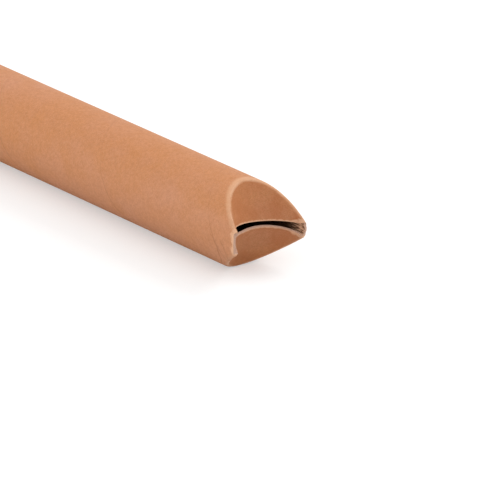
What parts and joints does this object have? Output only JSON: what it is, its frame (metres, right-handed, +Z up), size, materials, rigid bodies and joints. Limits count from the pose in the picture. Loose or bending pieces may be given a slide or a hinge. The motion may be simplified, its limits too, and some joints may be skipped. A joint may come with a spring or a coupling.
{
  "type": "mailing tube",
  "caption": "Spiral-wound kraft board mailing tube, closed at both ends by crescent flaps pushed in along curved creases, lying on its side.",
  "frame": {"origin": "centre of the bottom of the bounding box, on the line where the lying tube touches the surface", "axes": "+X along the tube towards the end that the picture shows, +Z up, slit of each end nearly level along Y"},
  "size_m": [0.381, 0.0538, 0.0538],
  "materials": {
    "kraft_board": "matt brown kraft board, spiral wound"
  },
  "bodies": {
    "root": {"mailing_tube": "kraft_board"}
  },
  "joints": []
}
